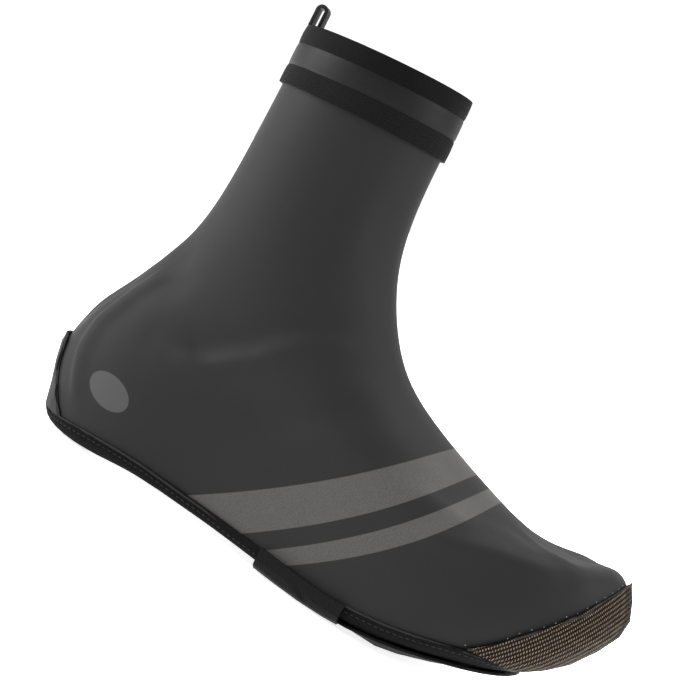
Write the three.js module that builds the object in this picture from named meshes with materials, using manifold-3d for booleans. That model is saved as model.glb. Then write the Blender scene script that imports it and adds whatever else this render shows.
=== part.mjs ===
// A cycling overshoe for the right foot, in millimetres, +Z up, with the toe towards +X
// and the outer side of the foot towards -Y. The neoprene upper is drawn as a stack of
// closed rings, from the hem under the sole up to the collar, and everything that lies on
// it is cut from the same rings, a little further out.
import * as THREE from "three";
import { mergeVertices } from "three/addons/utils/BufferGeometryUtils.js";
import Module from "manifold-3d";

const wasm = await Module();
wasm.setup();

// Foot and shaft, measured over the neoprene
const FOOT_LENGTH = 294;
const BALL_WIDTH = 104;
const ANKLE_HEIGHT = 116;
const SHAFT_HEIGHT = 112;
const COLLAR_DEPTH = 84;
const COLLAR_WIDTH = 74;
const ARCH_RISE = 5;
const SOLE_SAG = 7;

// Thicknesses, and the clearances between two pieces that are sewn together and between
// the binding's folded edge and what crosses it
const WALL = 2.5;
const SEAM_GAP = 0.3;
const EDGE_GAP = 0.7;
const CUFF_THICKNESS = 1.6;
const HEM_THICKNESS = 1.2;
const STRAP_THICKNESS = 2.3;
const PANEL_THICKNESS = 1.5;
const TOE_GUARD_THICKNESS = 1.5;
const HEEL_PATCH_THICKNESS = 1.2;
const LOOP_THICKNESS = 1.8;

// Pieces on the upper
const CUFF_HEIGHT = 28.7;
const CUFF_TURN_IN = 12;
const HEM_HEIGHT = 5.4;
const STRAP_BACK = 135;
const STRAP_LENGTH = 47;
const TOE_GUARD_LENGTH = 56;
const TOE_GUARD_SETBACK = 11;
const CLEAT_BACK = 191;
const CLEAT_LENGTH = 38;
const CLEAT_WIDTH = 42;
const CLEAT_CORNER = 12;
const HEEL_PATCH_HEIGHT = 40;
const HEEL_PATCH_WIDTH = 30;
const HEEL_PATCH_FLARE = 64;
const LOOP_WIDTH = 7;
const LOOP_DEPTH = 6.2;
const LOOP_HEIGHT = 14;

// The toe guard's edge starts low on the sides and crosses over the toe: both heights are
// shares of ANKLE_HEIGHT, and the bow is how far the edge swings out between them.
const TOE_GUARD_EDGE = { low: 0.206, high: 0.715, bow: 0.6, lean: 0.33 };

// One row for each of 15 stations along a ring, from the heel to the tip of the toe.
// outer and inner are half widths of the foot's own outline, as shares of half BALL_WIDTH.
// arch is a share of ARCH_RISE, bend a share of the ring's rise from heel to toe, and sag
// a share of SOLE_SAG.
const STATIONS = [
  { outer: 0.0, inner: 0.0, arch: 0.0, bend: 0.0, sag: 0.0 },
  { outer: 0.27, inner: 0.27, arch: 0.0, bend: 0.0, sag: 0.0 },
  { outer: 0.49, inner: 0.49, arch: 0.1, bend: 0.0, sag: 0.0 },
  { outer: 0.63, inner: 0.62, arch: 0.55, bend: 0.0, sag: 0.0 },
  { outer: 0.69, inner: 0.66, arch: 0.95, bend: 0.0, sag: 0.0 },
  { outer: 0.7, inner: 0.65, arch: 1.0, bend: 0.0, sag: 0.0 },
  { outer: 0.74, inner: 0.63, arch: 0.95, bend: 0.0, sag: 0.0 },
  { outer: 0.83, inner: 0.67, arch: 0.78, bend: 0.0, sag: 0.2 },
  { outer: 0.94, inner: 0.81, arch: 0.62, bend: 0.01, sag: 0.8 },
  { outer: 1.0, inner: 0.94, arch: 0.3, bend: 0.165, sag: 1.0 },
  { outer: 0.96, inner: 0.99, arch: 0.0, bend: 0.43, sag: 1.0 },
  { outer: 0.82, inner: 0.93, arch: 0.0, bend: 0.66, sag: 0.7 },
  { outer: 0.6, inner: 0.76, arch: 0.0, bend: 0.82, sag: 0.35 },
  { outer: 0.3, inner: 0.46, arch: 0.0, bend: 0.95, sag: 0.1 },
  { outer: -0.08, inner: 0.08, arch: 0.0, bend: 1.0, sag: 0.0 },
];

// One row for each ring of the foot, from the hem's inner edge under the sole upwards.
// back and front are where the ring meets the middle line, along FOOT_LENGTH, and low and
// high are their heights in ANKLE_HEIGHT. outer and inner are half widths in half
// BALL_WIDTH. sole is how much of the foot's own outline the ring keeps, where the rest is
// an ellipse, and bent how much it follows the bend and the arch of the sole.
const FOOT_RINGS = [
  { back: 0.085, low: 0.0, front: 0.82, high: 0.131, outer: 0.75, inner: 0.73, sole: 1, bent: 1 },
  { back: 0.043, low: 0.0, front: 0.875, high: 0.184, outer: 0.9, inner: 0.88, sole: 1, bent: 1 },
  { back: 0.018, low: 0.02, front: 0.917, high: 0.256, outer: 0.98, inner: 0.96, sole: 1, bent: 1 },
  {
    back: 0.008,
    low: HEM_HEIGHT / ANKLE_HEIGHT,
    front: 0.948,
    high: 0.334,
    outer: 1,
    inner: 0.98,
    sole: 1,
    bent: 1,
  },
  { back: -0.007, low: 0.17, front: 0.978, high: 0.465, outer: 1, inner: 0.99, sole: 1, bent: 0.95 },
  { back: -0.023, low: 0.276, front: 0.988, high: 0.56, outer: 0.97, inner: 0.96, sole: 0.95, bent: 0.88 },
  { back: -0.023, low: 0.37, front: 0.974, high: 0.65, outer: 0.925, inner: 0.925, sole: 0.88, bent: 0.75 },
  { back: -0.019, low: 0.44, front: 0.948, high: 0.728, outer: 0.875, inner: 0.875, sole: 0.72, bent: 0.6 },
  { back: -0.0125, low: 0.509, front: 0.892, high: 0.69, outer: 0.83, inner: 0.83, sole: 0.52, bent: 0.45 },
  { back: 0.001, low: 0.586, front: 0.805, high: 0.661, outer: 0.8, inner: 0.8, sole: 0.32, bent: 0.3 },
  { back: 0.018, low: 0.672, front: 0.7, high: 0.728, outer: 0.77, inner: 0.77, sole: 0.15, bent: 0.15 },
  { back: 0.0366, low: 0.776, front: 0.589, high: 0.812, outer: 0.74, inner: 0.74, sole: 0.05, bent: 0 },
  { back: 0.055, low: 0.888, front: 0.501, high: 0.908, outer: 0.72, inner: 0.72, sole: 0, bent: 0 },
];

// One row for each ring of the shaft, an ellipse. up is a share of SHAFT_HEIGHT above the
// ankle, centre a share of FOOT_LENGTH, depth and tilt shares of COLLAR_DEPTH, where tilt
// is how much higher the front lies than the back, and width a share of COLLAR_WIDTH.
const SHAFT_RINGS = [
  { up: 0.03, centre: 0.256, depth: 1.311, tilt: 0.04, width: 0.985 },
  { up: 0.2, centre: 0.2342, depth: 1.13, tilt: 0.08, width: 0.945 },
  { up: 0.37, centre: 0.221, depth: 1.048, tilt: 0.085, width: 0.92 },
  { up: 0.55, centre: 0.212, depth: 1.012, tilt: 0.1, width: 0.93 },
  { up: 1 - CUFF_HEIGHT / SHAFT_HEIGHT, centre: 0.206, depth: 1.002, tilt: 0.092, width: 0.955 },
  { up: 1, centre: 0.196, depth: 0.99, tilt: 0.111, width: 0.985 },
];

const LAST_STATION = STATIONS.length - 1;
const AROUND = 4 * LAST_STATION;
const ROW_STEP = 0.75;
const HEM_TOP_RING = 3;
const COLLAR_RING = FOOT_RINGS.length + SHAFT_RINGS.length - 1;
const CUFF_RING = COLLAR_RING - 1;
const UNDER_STEPS = 8;
const TIP_STATIONS = 2;

// The levels and the stations that are enough for each layer before it is cut to its outline
const STRAP_TOP_RING = HEM_TOP_RING + 0.1;
const PANEL_TOP_RING = 1.2;
const PATCH_RINGS = { low: HEM_TOP_RING + 0.05, high: HEM_TOP_RING + 6 };
const TOE_GUARD_RINGS = { low: 0.5, high: 9 };
const STRAP_STATIONS = { back: 5, front: 11 };
const PANEL_BACK_STATION = 7;

// Where the layers lie outside the neoprene, and the surface that the hem stands on
const HEM_OUTSIDE = SEAM_GAP + HEM_THICKNESS;
const OVER_HEM = HEM_OUTSIDE + EDGE_GAP;
const FLOOR = -HEM_OUTSIDE;
const BEYOND = FOOT_LENGTH;

function mix(a, b, share) {
  return a + (b - a) * share;
}

// A smooth curve through four neighbouring values, at a share of the way from b to c
function smooth(a, b, c, d, share) {
  const cubic = -a + 3 * b - 3 * c + d;
  const square = 2 * a - 5 * b + 4 * c - d;
  return 0.5 * (2 * b + (c - a) * share + square * share ** 2 + cubic * share ** 3);
}

function evenSteps(from, to, size) {
  const count = Math.max(1, Math.round((to - from) / size));
  return Array.from({ length: count + 1 }, (_, i) => mix(from, to, i / count));
}

// The heights at which every wall has a row of corners, so that the layers lie alike
const FOOT_ROWS = evenSteps(0, FOOT_RINGS.length - 1, ROW_STEP);
const SHAFT_ROWS = evenSteps(FOOT_RINGS.length - 1, COLLAR_RING, ROW_STEP);
const ROWS = [...FOOT_ROWS, ...SHAFT_ROWS.slice(1)];

function rowsBetween(from, to) {
  return [from, ...ROWS.filter((row) => row > from && row < to), to];
}

// Each ring in millimetres: where it meets the middle line, its half widths and its shape
const rings = [
  ...FOOT_RINGS.map((row) => ({
    backX: row.back * FOOT_LENGTH,
    backZ: row.low * ANKLE_HEIGHT,
    frontX: row.front * FOOT_LENGTH,
    frontZ: row.high * ANKLE_HEIGHT,
    outer: (row.outer * BALL_WIDTH) / 2,
    inner: (row.inner * BALL_WIDTH) / 2,
    sole: row.sole,
    bent: row.bent,
  })),
  ...SHAFT_RINGS.map((row) => {
    const middleZ = ANKLE_HEIGHT + row.up * SHAFT_HEIGHT;
    const halfDepth = (row.depth * COLLAR_DEPTH) / 2;
    const halfTilt = (row.tilt * COLLAR_DEPTH) / 2;
    return {
      backX: row.centre * FOOT_LENGTH - halfDepth,
      backZ: middleZ - halfTilt,
      frontX: row.centre * FOOT_LENGTH + halfDepth,
      frontZ: middleZ + halfTilt,
      outer: (row.width * COLLAR_WIDTH) / 2,
      inner: (row.width * COLLAR_WIDTH) / 2,
      sole: 0,
      bent: 0,
    };
  }),
];

function ringAt(level) {
  const base = Math.min(Math.floor(level), rings.length - 2);
  const [a, b, c, d] = [-1, 0, 1, 2].map(
    (i) => rings[Math.min(Math.max(base + i, 0), rings.length - 1)],
  );
  const made = {};
  for (const key of Object.keys(b)) made[key] = smooth(a[key], b[key], c[key], d[key], level - base);
  return made;
}

// A turn round the rings counts stations: 0 at the heel, LAST_STATION at the tip of the
// toe on the way along the outer side, and then back along the inner side.
function stationPoint(ring, index) {
  const count = 2 * LAST_STATION;
  const turn = ((index % count) + count) % count;
  const onOuter = turn <= LAST_STATION;
  const station = STATIONS[onOuter ? turn : count - turn];
  const angle = (Math.PI * turn) / LAST_STATION;
  const along = (1 - Math.cos(angle)) / 2;
  const footWidth = onOuter ? -station.outer : station.inner;
  const share = mix(-Math.sin(angle), footWidth, ring.sole);
  const climb = mix(along, station.bend, ring.bent);
  return new THREE.Vector3(
    mix(ring.backX, ring.frontX, along),
    share * (onOuter ? ring.outer : ring.inner),
    mix(ring.backZ, ring.frontZ, climb) + ring.bent * station.arch * ARCH_RISE,
  );
}

// The outside of the neoprene at a level between the rings and a place in the turn
function skin(level, turn) {
  const ring = ringAt(level);
  const base = Math.floor(turn);
  const near = [-1, 0, 1, 2].map((i) => stationPoint(ring, base + i));
  const made = new THREE.Vector3();
  for (const axis of ["x", "y", "z"])
    made[axis] = smooth(...near.map((point) => point[axis]), turn - base);
  made.z = Math.max(made.z, 0);
  return made;
}

function skinNormal(level, turn) {
  const STEP = 0.1;
  const low = Math.max(level - STEP, 0);
  const high = Math.min(level + STEP, COLLAR_RING);
  const up = skin(high, turn).sub(skin(low, turn));
  const along = skin(level, turn + STEP).sub(skin(level, turn - STEP));
  return along.cross(up).normalize();
}

// The skin moved out by a distance, or in where it is negative. A layer whose outer face
// is at outside lies flat where that face meets the floor.
function layer(level, turn, distance, outside) {
  const point = skin(level, turn).addScaledVector(skinNormal(level, turn), distance);
  point.z = Math.max(point.z, FLOOR + outside - distance);
  return point;
}

// The same for a sheet that spans the opening under the foot, from -1 at the outer edge
// of the hem to 1 at the inner one, and sags between them. Near the tip of the toe it
// turns the way the skin does at its edge, so that the two meet without a crease.
function underside(turn, across, distance, outside) {
  const sheet = (place) => {
    const point = skin(0, place).lerp(skin(0, 2 * LAST_STATION - place), (across + 1) / 2);
    const base = Math.min(Math.floor(place), LAST_STATION - 1);
    const sag = mix(STATIONS[base].sag, STATIONS[base + 1].sag, place - base);
    point.z = Math.max(point.z - sag * SOLE_SAG * (1 - across ** 4), FLOOR + outside);
    return point;
  };
  const STEP = 0.1;
  const back = sheet(Math.max(turn - STEP, 0));
  const ahead = sheet(Math.min(turn + STEP, LAST_STATION));
  const slope = (ahead.z - back.z) / (ahead.x - back.x);
  const down = new THREE.Vector3(slope, 0, -1).normalize();
  const inward = skinNormal(0, 2 * LAST_STATION - turn);
  const edge = skinNormal(0, turn).lerp(inward, (across + 1) / 2);
  const nearTip = Math.max(0, 1 - (LAST_STATION - turn) / TIP_STATIONS);
  const point = sheet(turn).addScaledVector(down.lerp(edge, nearTip).normalize(), distance);
  point.z = Math.max(point.z, FLOOR + outside - distance);
  return point;
}

function solidFromGeometry(geometry) {
  const bare = new THREE.BufferGeometry();
  bare.setAttribute("position", geometry.getAttribute("position"));
  if (geometry.index) bare.setIndex(geometry.index);
  const merged = mergeVertices(bare, 1e-3);
  const kept = [];
  for (let i = 0; i < merged.index.count; i += 3) {
    const [a, b, c] = [0, 1, 2].map((k) => merged.index.getX(i + k));
    if (a !== b && b !== c && a !== c) kept.push(a, b, c);
  }
  return new wasm.Manifold(
    new wasm.Mesh({
      numProp: 3,
      vertProperties: new Float32Array(merged.attributes.position.array),
      triVerts: new Uint32Array(kept),
    }),
  );
}

// A solid from closed loops of points that follow each other. It closes on the first loop
// again, or has a flat end on the first, where the last one is folded shut.
function solidFromLoops(loops, ending) {
  const count = loops[0].length;
  const positions = loops.flat().flatMap((point) => [point.x, point.y, point.z]);
  const indices = [];
  const quad = (a, b, c, d) => indices.push(a, b, c, a, c, d);
  const steps = ending === "round" ? loops.length : loops.length - 1;
  for (let i = 0; i < steps; i++) {
    const here = i * count;
    const next = ((i + 1) % loops.length) * count;
    for (let j = 0; j < count; j++) {
      const beside = (j + 1) % count;
      quad(here + j, here + beside, next + beside, next + j);
    }
  }
  const last = (loops.length - 1) * count;
  for (let j = 0; j < count / 2 - 1; j++) {
    const [a, b, c, d] = [j, j + 1, count - 2 - j, count - 1 - j];
    if (ending !== "round") quad(d, c, b, a);
    if (ending === "flat") quad(last + a, last + b, last + c, last + d);
  }
  const geometry = new THREE.BufferGeometry();
  geometry.setAttribute("position", new THREE.Float32BufferAttribute(positions, 3));
  geometry.setIndex(indices);
  return solidFromGeometry(geometry);
}

// A band all the way round: its section is a loop of levels and distances from the skin,
// with a lift above them where it stands over the edge of the upper.
function band(section, outside) {
  const stations = Array.from({ length: AROUND }, (_, j) => (j * 2 * LAST_STATION) / AROUND);
  return solidFromLoops(
    section.map(({ level, distance, lift = 0 }) =>
      stations.map((turn) => {
        const point = layer(level, turn, distance, outside);
        point.z += lift;
        return point;
      }),
    ),
    "round",
  );
}

function wallSection(levels, inside, outside) {
  return [
    ...levels.map((level) => ({ level, distance: outside })),
    ...[...levels].reverse().map((level) => ({ level, distance: inside })),
  ];
}

// A tray under the foot: down the outer side, across the underside and up the inner side.
// It runs between two stations, and is folded shut where it reaches the tip of the toe.
function tray(levels, from, to, inside, outside) {
  const across = evenSteps(-1, 1, 2 / UNDER_STEPS).slice(1, -1);
  const path = (turn, distance) => [
    ...[...levels].reverse().map((level) => layer(level, turn, distance, outside)),
    ...across.map((share) => underside(turn, share, distance, outside)),
    ...levels.map((level) => layer(level, 2 * LAST_STATION - turn, distance, outside)),
  ];
  return solidFromLoops(
    evenSteps(from, to, (2 * LAST_STATION) / AROUND).map((turn) => [
      ...path(turn, outside),
      ...path(turn, inside).reverse(),
    ]),
    to === LAST_STATION ? "folded" : "flat",
  );
}

// An outline in x and z, as wide as the whole shoe and more
function sideCutter(outline) {
  const geometry = new THREE.ExtrudeGeometry(outline, { depth: 2 * BEYOND, bevelEnabled: false });
  geometry.rotateX(Math.PI / 2);
  geometry.translate(0, BEYOND, 0);
  return solidFromGeometry(geometry);
}

function slab(fromX, toX) {
  const geometry = new THREE.BoxGeometry(toX - fromX, 2 * BEYOND, 2 * BEYOND);
  geometry.translate((fromX + toX) / 2, 0, 0);
  return solidFromGeometry(geometry);
}

// Neoprene wall, from the hem's inner edge to the collar
function makeUpper() {
  return band(wallSection(ROWS, -WALL, 0), HEM_OUTSIDE);
}

// Elastic band, folded over the top edge of the upper and a little way down inside
function makeCuff() {
  const outside = SEAM_GAP + CUFF_THICKNESS;
  const turned = WALL + SEAM_GAP;
  const levels = rowsBetween(CUFF_RING, COLLAR_RING);
  const foldedTo = COLLAR_RING - CUFF_TURN_IN / CUFF_HEIGHT;
  const inside = rowsBetween(foldedTo, COLLAR_RING);
  return band(
    [
      ...levels.map((level) => ({ level, distance: outside })),
      { level: COLLAR_RING, distance: outside - SEAM_GAP, lift: outside - SEAM_GAP },
      { level: COLLAR_RING, distance: -turned, lift: outside },
      { level: COLLAR_RING, distance: -turned - CUFF_THICKNESS, lift: SEAM_GAP },
      ...[...inside].reverse().map((level) => ({ level, distance: -turned - CUFF_THICKNESS })),
      ...inside.map((level) => ({ level, distance: -turned })),
      { level: COLLAR_RING, distance: -turned, lift: SEAM_GAP },
      { level: COLLAR_RING, distance: SEAM_GAP, lift: SEAM_GAP },
      ...[...levels].reverse().map((level) => ({ level, distance: SEAM_GAP })),
    ],
    outside,
  );
}

// Webbing loop at the back, an upside-down U seen from the side, sewn on the cuff's fold
function makeLoop() {
  const top = skin(COLLAR_RING, 0);
  const lower = skin(CUFF_RING, 0);
  const back = -SEAM_GAP - CUFF_THICKNESS;
  const front = back + LOOP_DEPTH;
  const foot = CUFF_THICKNESS + 2 * SEAM_GAP;
  const radius = LOOP_DEPTH / 2;
  const bow = LOOP_HEIGHT - radius;
  const outline = new THREE.Shape();
  outline.moveTo(back, foot);
  outline.lineTo(back + LOOP_THICKNESS, foot);
  outline.lineTo(back + LOOP_THICKNESS, bow);
  outline.absarc(back + radius, bow, radius - LOOP_THICKNESS, Math.PI, 0, true);
  outline.lineTo(front - LOOP_THICKNESS, foot);
  outline.lineTo(front, foot);
  outline.lineTo(front, bow);
  outline.absarc(back + radius, bow, radius, 0, Math.PI, false);
  outline.closePath();
  const geometry = new THREE.ExtrudeGeometry(outline, {
    depth: LOOP_WIDTH,
    bevelEnabled: false,
    curveSegments: 12,
  });
  geometry.rotateX(Math.PI / 2);
  geometry.translate(0, LOOP_WIDTH / 2, 0);
  geometry.rotateY(Math.atan2(top.x - lower.x, top.z - lower.z));
  geometry.translate(top.x, top.y, top.z);
  return solidFromGeometry(geometry);
}

// The outline of the toe guard from the side, grown by a clearance
function toeGuardCutter(clearance) {
  const { low: lowShare, high: highShare, bow, lean } = TOE_GUARD_EDGE;
  const back = FOOT_LENGTH - TOE_GUARD_LENGTH - clearance;
  const low = lowShare * ANKLE_HEIGHT - clearance;
  const topX = FOOT_LENGTH - TOE_GUARD_SETBACK - clearance;
  const topZ = highShare * ANKLE_HEIGHT;
  const outline = new THREE.Shape();
  outline.moveTo(back, low);
  outline.lineTo(back + BEYOND, low);
  outline.lineTo(back + BEYOND, topZ + BEYOND);
  outline.lineTo(topX + lean * BEYOND, topZ + BEYOND);
  outline.lineTo(topX, topZ);
  outline.quadraticCurveTo(mix(back, topX, bow), mix(topZ, low, bow), back, low);
  return sideCutter(outline);
}

function makeToeGuard() {
  const levels = rowsBetween(TOE_GUARD_RINGS.low, TOE_GUARD_RINGS.high);
  const outside = SEAM_GAP + TOE_GUARD_THICKNESS;
  return band(wallSection(levels, SEAM_GAP, outside), outside).intersect(toeGuardCutter(0));
}

// Binding round the lower edge, up to the toe guard
function makeHem() {
  const levels = rowsBetween(0, HEM_TOP_RING);
  return band(wallSection(levels, SEAM_GAP, HEM_OUTSIDE), HEM_OUTSIDE).subtract(
    toeGuardCutter(SEAM_GAP),
  );
}

// Strap under the arch, over the binding and a little higher than it
function makeStrap() {
  const outside = OVER_HEM + STRAP_THICKNESS;
  const levels = rowsBetween(0, STRAP_TOP_RING);
  const { back, front } = STRAP_STATIONS;
  return tray(levels, back, front, OVER_HEM, outside).intersect(
    slab(STRAP_BACK, STRAP_BACK + STRAP_LENGTH),
  );
}

// Panel that closes the forefoot from the strap to the toe guard, open over the cleat
function makePanel() {
  const outside = OVER_HEM + PANEL_THICKNESS;
  const opening = new THREE.Shape();
  const half = CLEAT_WIDTH / 2;
  const front = CLEAT_BACK + CLEAT_LENGTH;
  const corner = CLEAT_CORNER;
  opening.moveTo(CLEAT_BACK + corner, -half);
  opening.lineTo(front - corner, -half);
  opening.absarc(front - corner, corner - half, corner, -Math.PI / 2, 0, false);
  opening.absarc(front - corner, half - corner, corner, 0, Math.PI / 2, false);
  opening.lineTo(CLEAT_BACK + corner, half);
  opening.absarc(CLEAT_BACK + corner, half - corner, corner, Math.PI / 2, Math.PI, false);
  opening.absarc(CLEAT_BACK + corner, corner - half, corner, Math.PI, 1.5 * Math.PI, false);
  const hole = new THREE.ExtrudeGeometry(opening, {
    depth: 2 * BEYOND,
    bevelEnabled: false,
    curveSegments: 5,
  });
  hole.translate(0, 0, -BEYOND);
  const levels = rowsBetween(0, PANEL_TOP_RING);
  return tray(levels, PANEL_BACK_STATION, LAST_STATION, OVER_HEM, outside)
    .intersect(slab(STRAP_BACK + STRAP_LENGTH + SEAM_GAP, 2 * BEYOND))
    .subtract(toeGuardCutter(SEAM_GAP))
    .subtract(solidFromGeometry(hole));
}

// Patch up the back of the heel, above the binding, seen from behind as a flared arch
function makeHeelPatch() {
  const outside = SEAM_GAP + HEEL_PATCH_THICKNESS;
  const levels = rowsBetween(PATCH_RINGS.low, PATCH_RINGS.high);
  const topHalf = HEEL_PATCH_WIDTH / 2;
  const lowHalf = HEEL_PATCH_FLARE / 2;
  const shoulder = HEEL_PATCH_HEIGHT - topHalf / 2;
  const waist = mix(HEM_HEIGHT, HEEL_PATCH_HEIGHT, 0.4);
  const outline = new THREE.Shape();
  outline.moveTo(-lowHalf, 0);
  outline.lineTo(lowHalf, 0);
  outline.quadraticCurveTo(topHalf, waist, topHalf, shoulder);
  outline.quadraticCurveTo(topHalf, HEEL_PATCH_HEIGHT, 0, HEEL_PATCH_HEIGHT);
  outline.quadraticCurveTo(-topHalf, HEEL_PATCH_HEIGHT, -topHalf, shoulder);
  outline.quadraticCurveTo(-topHalf, waist, -lowHalf, 0);
  const geometry = new THREE.ExtrudeGeometry(outline, {
    depth: COLLAR_DEPTH,
    bevelEnabled: false,
    curveSegments: 6,
  });
  geometry.rotateX(Math.PI / 2);
  geometry.rotateZ(Math.PI / 2);
  geometry.translate(-COLLAR_DEPTH / 2, 0, 0);
  return band(wallSection(levels, SEAM_GAP, outside), outside).intersect(
    solidFromGeometry(geometry),
  );
}

const FINISHES = {
  neoprene: { color: 0x3f4143, roughness: 0.75, metalness: 0 },
  elastic: { color: 0x1d1d1f, roughness: 0.6, metalness: 0 },
  binding: { color: 0x19191a, roughness: 0.8, metalness: 0 },
  aramid: { color: 0x3b2f24, roughness: 0.9, metalness: 0 },
  patch: { color: 0x6c6d69, roughness: 0.7, metalness: 0 },
  webbing: { color: 0x121213, roughness: 0.5, metalness: 0 },
};

const root = new THREE.Group();

function addPiece(name, solid, finish) {
  const mesh = solid.getMesh();
  const geometry = new THREE.BufferGeometry();
  geometry.setAttribute("position", new THREE.BufferAttribute(mesh.vertProperties, 3));
  geometry.setIndex(new THREE.BufferAttribute(mesh.triVerts, 1));
  geometry.computeVertexNormals();
  const piece = new THREE.Mesh(geometry, new THREE.MeshStandardMaterial(FINISHES[finish]));
  piece.name = name;
  root.add(piece);
}

addPiece("upper", makeUpper(), "neoprene");
addPiece("collar_cuff", makeCuff(), "elastic");
addPiece("pull_loop", makeLoop(), "webbing");
addPiece("heel_patch", makeHeelPatch(), "patch");
addPiece("hem_binding", makeHem(), "binding");
addPiece("arch_strap", makeStrap(), "binding");
addPiece("sole_panel", makePanel(), "binding");
addPiece("toe_guard", makeToeGuard(), "aramid");

// The origin is at the middle of the footprint, on the surface that the shoe stands on
const box = new THREE.Box3().setFromObject(root);
root.position.set(-(box.min.x + box.max.x) / 2, -(box.min.y + box.max.y) / 2, -box.min.z);
root.updateMatrixWorld(true);

export default root;
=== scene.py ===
import bpy
import math
import numpy as np
from mathutils import Matrix, Vector


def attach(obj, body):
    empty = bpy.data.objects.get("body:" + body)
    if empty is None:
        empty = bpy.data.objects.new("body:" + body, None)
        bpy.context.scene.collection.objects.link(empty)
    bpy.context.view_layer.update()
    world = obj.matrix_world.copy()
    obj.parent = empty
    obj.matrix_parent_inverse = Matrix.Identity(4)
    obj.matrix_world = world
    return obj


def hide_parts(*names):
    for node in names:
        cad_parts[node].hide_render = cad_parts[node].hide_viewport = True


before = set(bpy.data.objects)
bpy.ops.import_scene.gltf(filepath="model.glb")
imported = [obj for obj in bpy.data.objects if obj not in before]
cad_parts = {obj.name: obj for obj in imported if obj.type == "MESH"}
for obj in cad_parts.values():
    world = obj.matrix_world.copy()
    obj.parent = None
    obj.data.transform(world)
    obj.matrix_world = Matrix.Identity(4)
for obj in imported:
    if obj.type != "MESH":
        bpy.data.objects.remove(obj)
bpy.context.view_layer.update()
bpy.ops.object.select_all(action="DESELECT")

# Neoprene body: the foot and the shaft are one skin of smooth neoprene with a dark fleece
# inside, cut and glued flat, so it has no seam on its side but soft folds where it was packed.
# Two printed reflective stripes cross the forefoot and a plain oval dot sits on the heel.
MM = 0.001
BODY_RINGS = 2
FOOT_CORE = [(-86, 232), (-88, 112), (-84, 62), (-40, 50), (60, 40), (124, 52)]
CORE_SIDE = 1.3


def only(piece):
    """Selects this piece alone and makes it the active one."""
    bpy.ops.object.select_all(action="DESELECT")
    piece.select_set(True)
    bpy.context.view_layer.objects.active = piece


def edit(piece, select="SELECT"):
    only(piece)
    bpy.ops.object.mode_set(mode="EDIT")
    bpy.ops.mesh.select_mode(type="VERT")
    bpy.ops.mesh.select_all(action=select)


def done():
    bpy.ops.object.mode_set(mode="OBJECT")


def copy_of(node, name):
    """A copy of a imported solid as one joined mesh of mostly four-sided faces."""
    piece = bpy.data.objects.new(name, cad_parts[node].data.copy())
    bpy.context.scene.collection.objects.link(piece)
    piece.data.materials.clear()
    edit(piece)
    bpy.ops.mesh.remove_doubles(threshold=0.02 * MM)
    bpy.ops.mesh.tris_convert_to_quads(face_threshold=0.6, shape_threshold=0.9)
    done()
    return piece


def applied(piece, kind, **settings):
    only(piece)
    modifier = piece.modifiers.new(kind.title(), kind)
    for key, value in settings.items():
        setattr(modifier, key, value)
    bpy.ops.object.modifier_apply(modifier=modifier.name)


def smooth_rings(piece, rings, hold=None):
    """Rounds the faces; edges sharper than hold degrees stay where they are."""
    if hold:
        edit(piece, "DESELECT")
        bpy.ops.mesh.select_mode(type="EDGE")
        bpy.ops.mesh.edges_select_sharp(sharpness=math.radians(hold))
        bpy.ops.transform.edge_crease(value=1.0)
        done()
    applied(piece, "SUBSURF", levels=rings, render_levels=rings)
    only(piece)
    bpy.ops.object.shade_smooth()


def soft_edges(piece, width, angle=42):
    applied(piece, "BEVEL", width=width * MM, segments=2, limit_method="ANGLE",
            angle_limit=math.radians(angle), use_clamp_overlap=True)
    only(piece)
    bpy.ops.object.shade_smooth_by_angle(angle=math.radians(38))


def points_of(piece):
    flat = np.empty(len(piece.data.vertices) * 3)
    piece.data.vertices.foreach_get("co", flat)
    return flat.reshape(-1, 3) / MM


def put_points(piece, points):
    piece.data.vertices.foreach_set("co", (points * MM).ravel())
    piece.data.update()


def nearest_on(points, path):
    """The nearest point of a polyline to each point, and the distance to it."""
    best = np.full(len(points), 1e9)
    spot = np.zeros_like(points)
    path = np.array(path, dtype=float)
    for start, end in zip(path[:-1], path[1:]):
        along = end - start
        share = np.clip((points - start) @ along / (along @ along), 0, 1)
        here = start + share[:, None] * along
        away = np.linalg.norm(points - here, axis=1)
        closer = away < best
        best[closer] = away[closer]
        spot[closer] = here[closer]
    return spot, best


def outward(points):
    """The direction from the middle of the foot or shaft to each point."""
    core = [(x, CORE_SIDE, z) for x, z in FOOT_CORE]
    spot, away = nearest_on(points, core)
    return (points - spot) / np.maximum(away, 1e-6)[:, None]


def fold(points, path, height, width):
    """A soft ridge, or a trough where height is below zero, that fades at both ends."""
    away = nearest_on(points, path)[1]
    ends = np.array([path[0], path[-1]], dtype=float)
    reach = np.min([np.linalg.norm(points - end, axis=1) for end in ends], axis=0)
    fade = np.clip(reach / (2.2 * width), 0, 1) ** 1.5 * 0.75 + 0.25
    return points + outward(points) * (height * fade * np.exp(-((away / width) ** 2)))[:, None]


body = copy_of("upper", "neoprene_body")
smooth_rings(body, BODY_RINGS)

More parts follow.
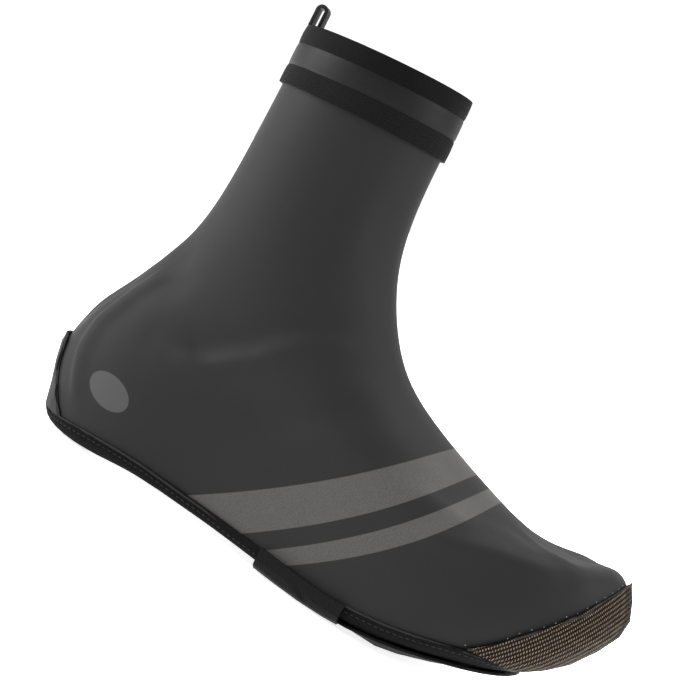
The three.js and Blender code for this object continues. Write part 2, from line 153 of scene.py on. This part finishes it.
# Each row is a fold: its height, its half width and the line that it follows on the skin.
COUNTER = [(-118, -20, 96), (-127, -18, 76), (-134, -20, 56), (-133, -23, 42), (-128, -27, 29), (-120, -30, 17)]
COUNTER_BACK = [(-129, -7, 92), (-138, -7, 72), (-145, -7, 52), (-146, -9, 38)]
HEEL_DENT = [(-122, -16, 108), (-117, -20, 101), (-111, -24, 93)]
ANKLE_TOP = [(-101, -29, 66), (-80, -32, 73), (-62, -35, 87), (-46, -33, 106), (-30, -24, 118)]
ANKLE_LINE = [(-97, -30, 60), (-76, -33, 67), (-59, -36, 81), (-42, -35, 100), (-18, -22, 111)]
INSTEP_LINE = [(-60, -38, 52), (-30, -38, 66), (-8, -34, 84), (10, -24, 92)]
BALL_LINE = [(45, -45, 56), (62, -45, 60), (83, -42, 67), (101, -38, 71), (119, -30, 74)]
BALL_HOLLOW = [(62, -43, 68), (82, -36, 75), (100, -32, 77)]
TOE_RIDGE = [(84, -8, 80), (98, -20, 81), (112, -27, 80), (124, -28, 77)]
TOE_DIP = [(104, 8, 86), (118, 10, 86), (128, 10, 84)]
TOE_BUMP = [(124, -24, 80), (130, -10, 86), (130, 12, 86), (124, 26, 80)]
SHAFT_BACK = [(-128, -16, 190), (-127, -20, 150), (-124, -20, 120)]
SHAFT_FRONT = [(-44, -16, 190), (-42, -19, 160), (-36, -20, 130)]
FOLDS = [
    (2.3, 4.0, COUNTER), (-1.4, 6.0, COUNTER_BACK), (-3.0, 7.0, HEEL_DENT), (-2.2, 8.0, ANKLE_TOP),
    (2.0, 5.5, ANKLE_LINE), (-1.6, 9.0, INSTEP_LINE), (1.9, 5.5, BALL_LINE), (-1.5, 6.0, BALL_HOLLOW),
    (1.4, 5.0, TOE_RIDGE), (-1.0, 6.0, TOE_DIP), (2.2, 8.0, TOE_BUMP), (-1.3, 9.0, SHAFT_BACK), (-1.0, 9.0, SHAFT_FRONT),
]
INNER_SIDE_SHARE = 0.8
skin = points_of(body)
for height, width, path in FOLDS:
    skin = fold(skin, path, height, width)
    inner_side = [(x + 3, 2 * CORE_SIDE - y, z + 2) for x, y, z in path]
    if path not in (TOE_DIP, TOE_BUMP):
        skin = fold(skin, inner_side, height * INNER_SIDE_SHARE, width)
put_points(body, skin)


def put(tree, kind, inputs=None, **settings):
    node = tree.nodes.new(kind)
    for key, value in settings.items():
        setattr(node, key, value)
    for key, value in (inputs or {}).items():
        if isinstance(value, bpy.types.NodeSocket):
            tree.links.new(value, node.inputs[key])
        else:
            node.inputs[key].default_value = value
    return node


def sums(tree, how, a, b=0.0, c=0.0):
    return put(tree, "ShaderNodeMath", {0: a, 1: b, 2: c}, operation=how).outputs[0]


def grey(level, warm=0.0):
    """A linear colour from a grey level of 0 to 255, a little warmer or cooler."""
    parts = [(level * (1 + warm)), level, level * (1 - warm)]
    return [((p / 255 + 0.055) / 1.055) ** 2.4 for p in parts] + [1.0]


def new_group(name, takes, gives):
    group = bpy.data.node_groups.new(name, "ShaderNodeTree")
    for label, kind, value in takes:
        socket = group.interface.new_socket(name=label, in_out="INPUT", socket_type=kind)
        if value is not None:
            socket.default_value = value
    for label, kind in gives:
        group.interface.new_socket(name=label, in_out="OUTPUT", socket_type=kind)
    return group, group.nodes.new("NodeGroupInput"), group.nodes.new("NodeGroupOutput")


def use(tree, group, inputs):
    node = tree.nodes.new("ShaderNodeGroup")
    node.node_tree = group
    for key, value in inputs.items():
        if isinstance(value, bpy.types.NodeSocket):
            tree.links.new(value, node.inputs[key])
        else:
            node.inputs[key].default_value = value
    return node


def finish_of(name, rough, sheen=0.0, sheen_rough=0.5, specular=0.5, coat=0.0):
    """A new material with its shader, and its Object coordinates in millimetres."""
    material = bpy.data.materials.new(name)
    material.use_nodes = True
    tree = material.node_tree
    shader = tree.nodes["Principled BSDF"]
    shader.inputs["Roughness"].default_value = rough
    shader.inputs["Specular IOR Level"].default_value = specular
    shader.inputs["Sheen Weight"].default_value = sheen
    shader.inputs["Sheen Roughness"].default_value = sheen_rough
    shader.inputs["Coat Weight"].default_value = coat
    place = put(tree, "ShaderNodeTexCoord").outputs["Object"]
    size = put(tree, "ShaderNodeVectorMath", {0: place, 3: 1 / MM}, operation="SCALE").outputs[0]
    return material, tree, shader, size


def raise_by(tree, shader, height, depth, blend=1.0):
    bump = put(tree, "ShaderNodeBump", {"Height": height, "Distance": depth * MM, "Strength": blend})
    tree.links.new(bump.outputs[0], shader.inputs["Normal"])


def mixed(tree, share, dark, light):
    node = put(tree, "ShaderNodeMix", data_type="RGBA")
    for key, value in ((0, share), (6, dark), (7, light)):
        if isinstance(value, bpy.types.NodeSocket):
            tree.links.new(value, node.inputs[key])
        else:
            node.inputs[key].default_value = value
    return node.outputs[2]


# Grain is the fine, even pebble of a coated skin or a nap, with slow clouds of wear over it.
grain, taken, given = new_group(
    "grain",
    [("Place", "NodeSocketVector", None), ("Size", "NodeSocketFloat", 0.4), ("Cloud", "NodeSocketFloat", 40.0)],
    [("Height", "NodeSocketFloat"), ("Cloud", "NodeSocketFloat"), ("Speck", "NodeSocketFloat")])
fine = put(grain, "ShaderNodeTexNoise", {"Vector": taken.outputs["Place"], "Detail": 2.0, "Scale":
           sums(grain, "DIVIDE", 1.0, taken.outputs["Size"])})
slow = put(grain, "ShaderNodeTexNoise", {"Vector": taken.outputs["Place"], "Detail": 3.0, "Scale":
           sums(grain, "DIVIDE", 1.0, taken.outputs["Cloud"])})
dust = put(grain, "ShaderNodeTexVoronoi", {"Vector": taken.outputs["Place"], "Scale":
           sums(grain, "DIVIDE", 0.7, taken.outputs["Size"])})
grain.links.new(fine.outputs[0], given.inputs["Height"])
grain.links.new(slow.outputs[0], given.inputs["Cloud"])
grain.links.new(dust.outputs[0], given.inputs["Speck"])


def parts_of(tree, vector):
    return put(tree, "ShaderNodeSeparateXYZ", {0: vector}).outputs


def edge_mask(tree, value, soft):
    """0 below zero and 1 above it, over a soft step."""
    return put(tree, "ShaderNodeMapRange", {0: value, 1: -soft, 2: soft}, clamp=True).outputs[0]


# A stripe's edge runs forward as it climbs: its place at mid height, its lean and its bend.
STRIPE_MID = 45
STRIPE_EDGES = [
    ((-7.9, 1.15, -0.0038), (19.6, 0.992, -0.0045)),
    ((31.7, 0.938, -0.0046), (44.2, 0.903, -0.0056)),
]
DOT_PLACE = (-109.0, 31.4)
DOT_HALF = (12.0, 7.4)
DOT_TURN = math.radians(-10.8)
PRINT_EDGE = 0.25
SKIN_DARK, SKIN_LIGHT = grey(16.5, 0.012), grey(21.5, 0.008)
PRINT_DARK, PRINT_LIGHT = grey(49, 0.02), grey(60, 0.025)
DOT_GREY = grey(50, 0.0)

skin_finish, tree, shader, size = finish_of("neoprene_skin", 0.6, sheen=0.02, sheen_rough=0.4, specular=0.12)
x, y, z = parts_of(tree, size)
pebble = use(tree, grain, {"Place": size, "Size": 0.35, "Cloud": 45.0})
climb = sums(tree, "SUBTRACT", z, STRIPE_MID)
square = sums(tree, "MULTIPLY", climb, climb)
stripes = None
for edges in STRIPE_EDGES:
    sides = []
    for (mid, lean, bend), sign in zip(edges, (1, -1)):
        line = sums(tree, "ADD", sums(tree, "MULTIPLY_ADD", climb, lean, mid), sums(tree, "MULTIPLY", square, bend))
        gap = sums(tree, "MULTIPLY", sums(tree, "SUBTRACT", x, line), float(sign))
        sides.append(edge_mask(tree, gap, PRINT_EDGE))
    stripe = sums(tree, "MULTIPLY", *sides)
    stripes = stripe if stripes is None else sums(tree, "MAXIMUM", stripes, stripe)
from_x = sums(tree, "SUBTRACT", x, DOT_PLACE[0])
from_z = sums(tree, "SUBTRACT", z, DOT_PLACE[1])
cos, sin = math.cos(DOT_TURN), math.sin(DOT_TURN)
long_way = sums(tree, "MULTIPLY_ADD", from_x, cos / DOT_HALF[0], sums(tree, "MULTIPLY", from_z, sin / DOT_HALF[0]))
short_way = sums(tree, "MULTIPLY_ADD", from_z, cos / DOT_HALF[1], sums(tree, "MULTIPLY", from_x, -sin / DOT_HALF[1]))
reach = sums(tree, "SQRT", sums(tree, "MULTIPLY_ADD", long_way, long_way, sums(tree, "MULTIPLY", short_way, short_way)))
dot = sums(tree, "MULTIPLY", edge_mask(tree, sums(tree, "SUBTRACT", 1.0, reach), 0.02),
           sums(tree, "LESS_THAN", y, 0.0))
plain = mixed(tree, pebble.outputs["Cloud"], SKIN_DARK, SKIN_LIGHT)
speckle = put(tree, "ShaderNodeMapRange", {0: pebble.outputs["Speck"], 1: 0.15, 2: 0.75}).outputs[0]
print_colour = mixed(tree, speckle, PRINT_LIGHT, PRINT_DARK)
striped = mixed(tree, stripes, plain, print_colour)
tree.links.new(mixed(tree, dot, striped, DOT_GREY), shader.inputs["Base Color"])
printed = sums(tree, "MAXIMUM", stripes, dot)
tree.links.new(sums(tree, "MULTIPLY_ADD", printed, -0.1, sums(tree, "MULTIPLY_ADD", pebble.outputs["Cloud"], 0.12, 0.56)),
               shader.inputs["Roughness"])
raise_by(tree, shader, sums(tree, "MULTIPLY_ADD", printed, 0.6, pebble.outputs["Height"]), 0.05)

fleece, tree, shader, size = finish_of("fleece_lining", 0.95, sheen=0.3, sheen_rough=0.6, specular=0.2)
nap = use(tree, grain, {"Place": size, "Size": 0.9, "Cloud": 12.0})
tree.links.new(mixed(tree, nap.outputs["Height"], grey(20), grey(38, 0.01)), shader.inputs["Base Color"])
raise_by(tree, shader, nap.outputs["Height"], 0.5)

body.data.materials.append(skin_finish)
body.data.materials.append(fleece)
count = len(body.data.polygons)
centres, normals = np.empty(count * 3), np.empty(count * 3)
body.data.polygons.foreach_get("center", centres)
body.data.polygons.foreach_get("normal", normals)
facing = (outward(centres.reshape(-1, 3) / MM) * normals.reshape(-1, 3)).sum(axis=1)
body.data.polygons.foreach_set("material_index", (facing < -0.05).astype(np.int32))
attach(body, "root")
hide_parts("upper")

# Collar cuff: a 30 mm elastic band sewn over the top edge of the body and turned in. Its top
# third is a flat black tape, its middle a satin grip band, and its lower third is ribbed.
COLLAR_LEAN = 0.111
GRIP_LOW, GRIP_TOP = 219.9, 230.7
BAND_BULGE = 0.45
GROOVE = (0.28, 0.5)
cuff = copy_of("collar_cuff", "elastic_cuff")
smooth_rings(cuff, 3, hold=50)
for line in (GRIP_LOW, GRIP_TOP):
    edit(cuff)
    bpy.ops.mesh.bisect(plane_co=(0, 0, line * MM), plane_no=(-COLLAR_LEAN, 0, 1))
    done()
spots = points_of(cuff)
level = spots[:, 2] - COLLAR_LEAN * spots[:, 0]
push = np.zeros(len(spots))
ridges = [level.min(), GRIP_LOW, GRIP_TOP, level.max()]
for low, high, bulge in zip(ridges[:-1], ridges[1:], (0.5, 0.15, 0.45)):
    share = (level - low) / (high - low)
    inside = (share >= 0) & (share <= 1)
    push[inside] += bulge * BAND_BULGE * np.sin(np.pi * share[inside])
for line in (GRIP_LOW, GRIP_TOP):
    push -= GROOVE[0] * np.exp(-(((level - line) / GROOVE[1]) ** 2))
across = spots - np.array([-84.0, CORE_SIDE, 0.0])
across[:, 2] = 0
spots += across / np.linalg.norm(across, axis=1)[:, None] * push[:, None]
put_points(cuff, spots)

# Ribs are parallel cords of thread: the height of the rows at a place, and their dark valleys.
ribs, taken, given = new_group(
    "ribs", [("Along", "NodeSocketFloat", 0.0), ("Pitch", "NodeSocketFloat", 1.0)],
    [("Height", "NodeSocketFloat")])
turns = sums(ribs, "DIVIDE", taken.outputs["Along"], taken.outputs["Pitch"])
wave = sums(ribs, "SINE", sums(ribs, "MULTIPLY", turns, 2 * math.pi))
ribs.links.new(sums(ribs, "MULTIPLY_ADD", wave, 0.5, 0.5), given.inputs["Height"])


def rib(tree, along, pitch):
    return use(tree, ribs, {"Along": along, "Pitch": pitch}).outputs["Height"]


def round_shaft(tree, size):
    """How far round the collar a place is, in millimetres, and its level along the collar."""
    x, y, z = parts_of(tree, size)
    turn = sums(tree, "ARCTAN2", sums(tree, "SUBTRACT", y, CORE_SIDE), sums(tree, "SUBTRACT", x, -84.0))
    return sums(tree, "MULTIPLY", turn, 40.0), sums(tree, "MULTIPLY_ADD", x, -COLLAR_LEAN, z)


def band_finish(name, dark, light, rough, rows, columns, depth, specular=0.4):
    material, tree, shader, size = finish_of(name, rough, specular=specular)
    along, level = round_shaft(tree, size)
    across = rib(tree, level, rows)
    upright = rib(tree, along, columns)
    weave = sums(tree, "MULTIPLY", across, sums(tree, "MULTIPLY_ADD", upright, 0.6, 0.4))
    cloud = use(tree, grain, {"Place": size, "Size": 0.5, "Cloud": 18.0})
    shade = sums(tree, "MULTIPLY_ADD", cloud.outputs["Height"], 0.35, sums(tree, "MULTIPLY", weave, 0.65))
    tree.links.new(mixed(tree, shade, dark, light), shader.inputs["Base Color"])
    tree.links.new(sums(tree, "MULTIPLY_ADD", cloud.outputs["Cloud"], 0.15, rough - 0.07), shader.inputs["Roughness"])
    raise_by(tree, shader, weave, depth)
    return material


cuff.data.materials.append(band_finish("ribbed_elastic", grey(3), grey(16), 0.75, 1.1, 1.3, 0.35, 0.06))
cuff.data.materials.append(band_finish("grip_band", grey(4, 0.01), grey(10, 0.01), 0.46, 0.6, 0.8, 0.06, 0.11))
cuff.data.materials.append(band_finish("top_tape", grey(2), grey(7), 0.65, 0.7, 0.9, 0.15, 0.05))
middles = np.empty(len(cuff.data.polygons) * 3)
cuff.data.polygons.foreach_get("center", middles)
middles = middles.reshape(-1, 3) / MM
level = middles[:, 2] - COLLAR_LEAN * middles[:, 0]
cuff.data.polygons.foreach_set("material_index", ((level > GRIP_LOW).astype(int) + (level > GRIP_TOP)).astype(np.int32))
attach(cuff, "root")
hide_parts("collar_cuff")

# Pull loop: a short length of glossy woven tape, folded and sewn into the back of the cuff.
loop = copy_of("pull_loop", "webbing_loop")
soft_edges(loop, 0.35)
webbing, tree, shader, size = finish_of("loop_webbing", 0.42, specular=0.15)
x, y, z = parts_of(tree, size)
twill = rib(tree, sums(tree, "ADD", y, z), 0.9)
tree.links.new(mixed(tree, twill, grey(2), grey(8)), shader.inputs["Base Color"])
raise_by(tree, shader, twill, 0.15)
loop.data.materials.append(webbing)
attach(loop, "root")
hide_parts("pull_loop")

# Lower binding: a black ribbed tape folded round the cut edge of the body and sewn down, from
# the ball of the foot back round the heel. It also meets the floor under the heel.
def woven_finish(name, dark, light, rough, pitch, depth, specular=0.4, gloss=0.0):
    """Cloth of crossing threads, on whichever two of the three axes a face lies along."""
    material, tree, shader, size = finish_of(name, rough, specular=specular, coat=gloss)
    x, y, z = parts_of(tree, size)
    slant = rib(tree, sums(tree, "ADD", x, sums(tree, "ADD", y, z)), pitch)
    back = rib(tree, sums(tree, "SUBTRACT", x, sums(tree, "SUBTRACT", y, z)), pitch)
    weave = sums(tree, "MAXIMUM", slant, back)
    cloud = use(tree, grain, {"Place": size, "Size": 0.6, "Cloud": 22.0})
    shade = sums(tree, "MULTIPLY", weave, sums(tree, "MULTIPLY_ADD", cloud.outputs["Height"], 0.8, 0.4))
    tree.links.new(mixed(tree, shade, dark, light), shader.inputs["Base Color"])
    tree.links.new(sums(tree, "MULTIPLY_ADD", cloud.outputs["Cloud"], 0.2, rough - 0.1), shader.inputs["Roughness"])
    raise_by(tree, shader, sums(tree, "MULTIPLY_ADD", cloud.outputs["Height"], 0.4, weave), depth)
    return material


binding = copy_of("hem_binding", "lower_binding")
smooth_rings(binding, 1, hold=50)
binding.data.materials.append(woven_finish("binding_tape", grey(3), grey(15), 0.8, 1.0, 0.3, 0.05))
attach(binding, "root")
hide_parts("hem_binding")

# Heel patch: a strip of smooth grey cloth glued up the back of the heel over the body's seam.
patch = copy_of("heel_patch", "heel_strip")
soft_edges(patch, 0.3)
patch.data.materials.append(woven_finish("heel_cloth", grey(26), grey(36), 0.7, 0.8, 0.1, 0.15))
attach(patch, "root")
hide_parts("heel_patch")

# Arch strap and sole panel: tough black sole cloth with a slight gloss. The strap crosses under
# the arch, and the panel closes the forefoot round the opening for the cleat.
sole_cloth = woven_finish("sole_cloth", grey(1), grey(7), 0.5, 1.2, 0.25, 0.06, 0.02)
for node, name in (("arch_strap", "arch_band"), ("sole_panel", "forefoot_panel")):
    under = copy_of(node, name)
    soft_edges(under, 0.4)
    under.data.materials.append(sole_cloth)
    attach(under, "root")
    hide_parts(node)

# Toe guard: a knitted guard of tan beads on a dark ground, shaped round the toe and under it,
# where the shoe scrapes the road. Its rows follow its own upper edge.
ROW_CENTRE = (-39.5, 151.6)
ROW_REACH = 187.0
ROW_PITCH, BEAD_PITCH = 1.8, 1.5
guard = copy_of("toe_guard", "toe_knit")
applied(guard, "SUBSURF", levels=2, render_levels=2, subdivision_type="SIMPLE")
soft_edges(guard, 0.35)
knit, tree, shader, size = finish_of("toe_knit", 0.7, specular=0.05)
x, y, z = parts_of(tree, size)
ahead = sums(tree, "SUBTRACT", x, ROW_CENTRE[0])
below = sums(tree, "SUBTRACT", ROW_CENTRE[1], z)
wobble = use(tree, grain, {"Place": size, "Size": 3.0, "Cloud": 14.0})
away = sums(tree, "SQRT", sums(tree, "MULTIPLY_ADD", ahead, ahead, sums(tree, "MULTIPLY", below, below)))
row = sums(tree, "MULTIPLY_ADD", wobble.outputs["Height"], 0.5, sums(tree, "SUBTRACT", away, ROW_REACH))
climb = sums(tree, "MULTIPLY", sums(tree, "ARCTAN2", ahead, below), ROW_REACH)
side = put(tree, "ShaderNodeMapRange", {0: y, 1: -8.0, 2: 8.0, 3: 1.0, 4: -1.0}, clamp=True).outputs[0]
along = sums(tree, "MULTIPLY_ADD", climb, side, y)
odd_row = sums(tree, "FLOORED_MODULO", sums(tree, "FLOOR", sums(tree, "DIVIDE", row, ROW_PITCH)), 2.0)
shifted = sums(tree, "MULTIPLY_ADD", odd_row, BEAD_PITCH / 2, along)
beads = sums(tree, "MULTIPLY", rib(tree, sums(tree, "SUBTRACT", row, ROW_PITCH / 4), ROW_PITCH),
             rib(tree, shifted, BEAD_PITCH))
speck = use(tree, grain, {"Place": size, "Size": 1.1, "Cloud": 25.0})
bead_mask = put(tree, "ShaderNodeMapRange", {0: beads, 1: 0.25, 2: 0.8}, clamp=True).outputs[0]
tan = mixed(tree, speck.outputs["Height"], [0.03, 0.021, 0.013, 1], [0.3, 0.23, 0.15, 1])
tree.links.new(mixed(tree, bead_mask, [0.003, 0.002, 0.0015, 1], tan), shader.inputs["Base Color"])
raise_by(tree, shader, beads, 0.9)
guard.data.materials.append(knit)
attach(guard, "root")
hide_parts("toe_guard")


# Piping and stitches: a thin black cord runs along the top of the lower binding, the edge of the
# heel patch and the edge of the toe guard, and lines of lock stitches hold tape and cloth down.
def edge_line(node, angle, score, bins=90, low=-math.pi, high=math.pi):
    """The points of a solid's edge: in each slice of turn, the point with the highest score."""
    spots = np.unique(np.round(points_of(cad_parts[node]), 3), axis=0)
    turn, worth = angle(spots), score(spots)
    line = []
    for start in np.linspace(low, high, bins + 1)[:-1]:
        inside = np.flatnonzero((turn >= start) & (turn < start + (high - low) / bins))
        if len(inside):
            line.append(spots[inside[np.argmax(worth[inside])]])
    return np.array(line)


def evened(line, step, rounds=2):
    """The same line with points a step apart, a little smoothed."""
    for _ in range(rounds):
        line[1:-1] = (line[:-2] + 2 * line[1:-1] + line[2:]) / 4
    gaps = np.linalg.norm(np.diff(line, axis=0), axis=1)
    run = np.concatenate([[0], np.cumsum(gaps)])
    marks = np.linspace(0, run[-1], max(2, int(run[-1] / step)))
    return np.stack([np.interp(marks, run, line[:, k]) for k in range(3)], axis=1)


def piping(name, line, radius, finish):
    curve = bpy.data.curves.new(name, "CURVE")
    curve.dimensions = "3D"
    curve.bevel_depth = radius * MM
    curve.bevel_resolution = 2
    curve.use_fill_caps = True
    spline = curve.splines.new("POLY")
    spline.points.add(len(line) - 1)
    for point, spot in zip(spline.points, line * MM):
        point.co = (*spot, 1)
    cord = bpy.data.objects.new(name, curve)
    bpy.context.scene.collection.objects.link(cord)
    only(cord)
    bpy.ops.object.convert(target="MESH")
    cord = bpy.context.view_layer.objects.active
    bpy.ops.object.shade_smooth()
    cord.data.materials.append(finish)
    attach(cord, "root")
    return cord


def stitches(name, line, length, pitch, radius, finish):
    """One stitch is modelled as a flattened bead and repeated along the line."""
    bpy.ops.object.select_all(action="DESELECT")
    bpy.ops.mesh.primitive_uv_sphere_add(segments=8, ring_count=6, radius=1.0)
    seed = bpy.context.object
    bead = np.array([v.co for v in seed.data.vertices])
    faces = [tuple(p.vertices) for p in seed.data.polygons]
    bpy.data.objects.remove(seed, do_unlink=True)
    spots = evened(line.copy(), pitch)
    ahead = np.gradient(spots, axis=0)
    ahead /= np.linalg.norm(ahead, axis=1)[:, None]
    out = outward(spots)
    out -= (out * ahead).sum(axis=1)[:, None] * ahead
    out /= np.linalg.norm(out, axis=1)[:, None]
    wide = np.cross(out, ahead)
    verts, polys = [], []
    for spot, a, o, w in zip(spots, ahead, out, wide):
        base = len(verts)
        verts += list((spot + bead[:, :1] * a * length / 2 + bead[:, 1:2] * w * radius
                       + bead[:, 2:] * o * radius * 0.8) * MM)
        polys += [tuple(base + i for i in face) for face in faces]
    mesh = bpy.data.meshes.new(name)
    mesh.from_pydata(verts, [], polys)
    piece = bpy.data.objects.new(name, mesh)
    bpy.context.scene.collection.objects.link(piece)
    only(piece)
    bpy.ops.object.shade_smooth()
    piece.data.materials.append(finish)
    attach(piece, "root")
    return piece


def settled(line, piece, lift=0.1):
    """The same line, laid on the nearest skin of a piece."""
    spots = []
    for spot in line:
        place, normal = piece.closest_point_on_mesh(Vector(spot * MM))[1:3]
        spots.append(np.array(place) / MM + np.array(normal) * lift)
    return np.array(spots)


piping_cloth = woven_finish("piping_cord", grey(4), grey(12), 0.55, 0.6, 0.08, 0.2)
thread = woven_finish("black_thread", grey(8), grey(22), 0.5, 0.4, 0.05, 0.15)


def round_plan(spots):
    """The turn round the foot seen from above, from the ball round the heel and back."""
    return np.arctan2(spots[:, 1] / 50, -spots[:, 0] / 150)


def top_outer(spots):
    wide = np.hypot(spots[:, 1] - CORE_SIDE, spots[:, 0] * 0.3)
    return spots[:, 2] + 0.5 * wide


hem_line = evened(edge_line("hem_binding", round_plan, top_outer, 76), 2.0, 2)
piping("binding_piping", hem_line, 0.55, piping_cloth)
lower = settled(hem_line + np.array([0, 0, -2.2]), binding)
stitches("binding_stitches", lower, 2.2, 3.0, 0.3, thread)


def over_toe(spots):
    return np.arctan2(spots[:, 2] - 18, -(spots[:, 1] - CORE_SIDE))


def guard_edge(spots):
    away = np.hypot(spots[:, 0] - ROW_CENTRE[0], spots[:, 2] - ROW_CENTRE[1])
    tall = np.hypot(spots[:, 1] - CORE_SIDE, spots[:, 2] - 20)
    return -4 * np.abs(away - away.min()) + tall - 3 * np.maximum(0, away - ROW_REACH - 3)


edge = evened(edge_line("toe_guard", over_toe, guard_edge, 70, 0.0, math.pi), 1.5, 2)
piping("guard_piping", edge, 0.6, piping_cloth)
pale_thread = woven_finish("pale_thread", grey(90, 0.05), grey(150, 0.04), 0.6, 0.4, 0.05, 0.2)
over_edge = settled(edge + np.array([-1.5, 0, 0.5]), body, 0.05)
stitches("guard_stitches", over_edge, 0.7, 5.5, 0.17, pale_thread)


def behind(spots):
    return np.arctan2(spots[:, 2] - PATCH_MIDDLE, spots[:, 1])


def patch_edge(spots):
    return np.hypot(spots[:, 1], spots[:, 2] - PATCH_MIDDLE) - 0.3 * spots[:, 0]


def under_toe(spots):
    return np.arctan2(spots[:, 1], spots[:, 0] - PANEL_BACK)


def panel_rim(spots):
    return np.hypot(spots[:, 0] - PANEL_BACK, spots[:, 1]) + 0.6 * spots[:, 2]


PANEL_BACK = 30.0
cord_line = evened(edge_line("sole_panel", under_toe, panel_rim, 60, -1.3, 1.3), 2.0, 2)
piping("panel_piping", cord_line + np.array([0, 0, 0.9]), 1.2, piping_cloth)

PATCH_MIDDLE = 9.0
rim = evened(edge_line("heel_patch", behind, patch_edge, 60, 0.0, math.pi), 1.5, 2)
piping("patch_piping", rim, 0.55, piping_cloth)

# Floor, lights and camera: a plain white sweep lit by soft boxes from the heel side, from above
# and from the toe side; the floor also glows, painted light that hides the shoe's shadow on it
# and lights its underside. The camera looks at the outer side, a little from above, and is rolled.
FLOOR_WHITE = 0.95
FLOOR_GLOW = 0.8
bpy.ops.object.select_all(action="DESELECT")
bpy.ops.mesh.primitive_circle_add(vertices=96, radius=30, fill_type="NGON", location=(0, 0, 0))
floor = bpy.context.object
floor.name = "floor"
ground, tree, shader, size = finish_of("studio_floor", 0.8, specular=0.1)
dusty = use(tree, grain, {"Place": size, "Size": 6.0, "Cloud": 400.0})
tree.links.new(mixed(tree, dusty.outputs["Cloud"], [FLOOR_WHITE] * 3 + [1], [FLOOR_WHITE + 0.02] * 3 + [1]),
               shader.inputs["Base Color"])
# The floor's glow is painted light: it fills in the shadow under the shoe and brightens its underside.
shader.inputs["Emission Color"].default_value = (1, 1, 1, 1)
shader.inputs["Emission Strength"].default_value = FLOOR_GLOW
floor.data.materials.append(ground)

world = bpy.context.scene.world or bpy.data.worlds.new("studio")
bpy.context.scene.world = world
world.use_nodes = True
world.node_tree.nodes["Background"].inputs["Color"].default_value = (1, 1, 1, 1)
world.node_tree.nodes["Background"].inputs["Strength"].default_value = 1.08

LIGHTS = [
    ("heel_box", (-1.7, -0.5, 0.6), 1.2, 55.0),
    ("top_box", (0.1, 0.2, 1.9), 1.2, 32.0),
    ("toe_box", (1.7, -0.2, 1.1), 1.0, 34.0),
]
for name, place, width, power in LIGHTS:
    lamp = bpy.data.lights.new(name, "AREA")
    lamp.size = width
    lamp.energy = power
    holder = bpy.data.objects.new(name, lamp)
    bpy.context.scene.collection.objects.link(holder)
    holder.location = place
    holder.rotation_euler = (Vector((0, 0, 0.1)) - Vector(place)).to_track_quat("-Z", "Y").to_euler()

PIVOT = Vector((0, 0, 0.095))
VIEW_SIDE, VIEW_DROP, VIEW_ROLL = map(math.radians, (-8.0, 4.5, 31.83))
VIEW_REACH = 1.0
AIM = Vector((-0.03426, 0, 0.10784))
FOCAL_SHARE = 3.1197
sight = Vector((math.sin(VIEW_SIDE) * math.cos(VIEW_DROP), math.cos(VIEW_SIDE) * math.cos(VIEW_DROP),
                -math.sin(VIEW_DROP)))
stand = PIVOT - sight * VIEW_REACH
look = (AIM - stand).normalized()
level_right = look.cross(Vector((0, 0, 1))).normalized()
level_up = level_right.cross(look)
right = level_right * math.cos(VIEW_ROLL) + level_up * math.sin(VIEW_ROLL)
up = level_up * math.cos(VIEW_ROLL) - level_right * math.sin(VIEW_ROLL)
eye = bpy.data.cameras.new("photo_view")
eye.sensor_width = 36
eye.lens = FOCAL_SHARE * 36
eye.clip_start = 0.01
camera = bpy.data.objects.new("photo_view", eye)
bpy.context.scene.collection.objects.link(camera)
turned = Matrix((right, up, -look)).transposed().to_4x4()
turned.translation = stand
camera.matrix_world = turned
bpy.context.scene.camera = camera
bpy.context.scene.view_settings.view_transform = "Standard"
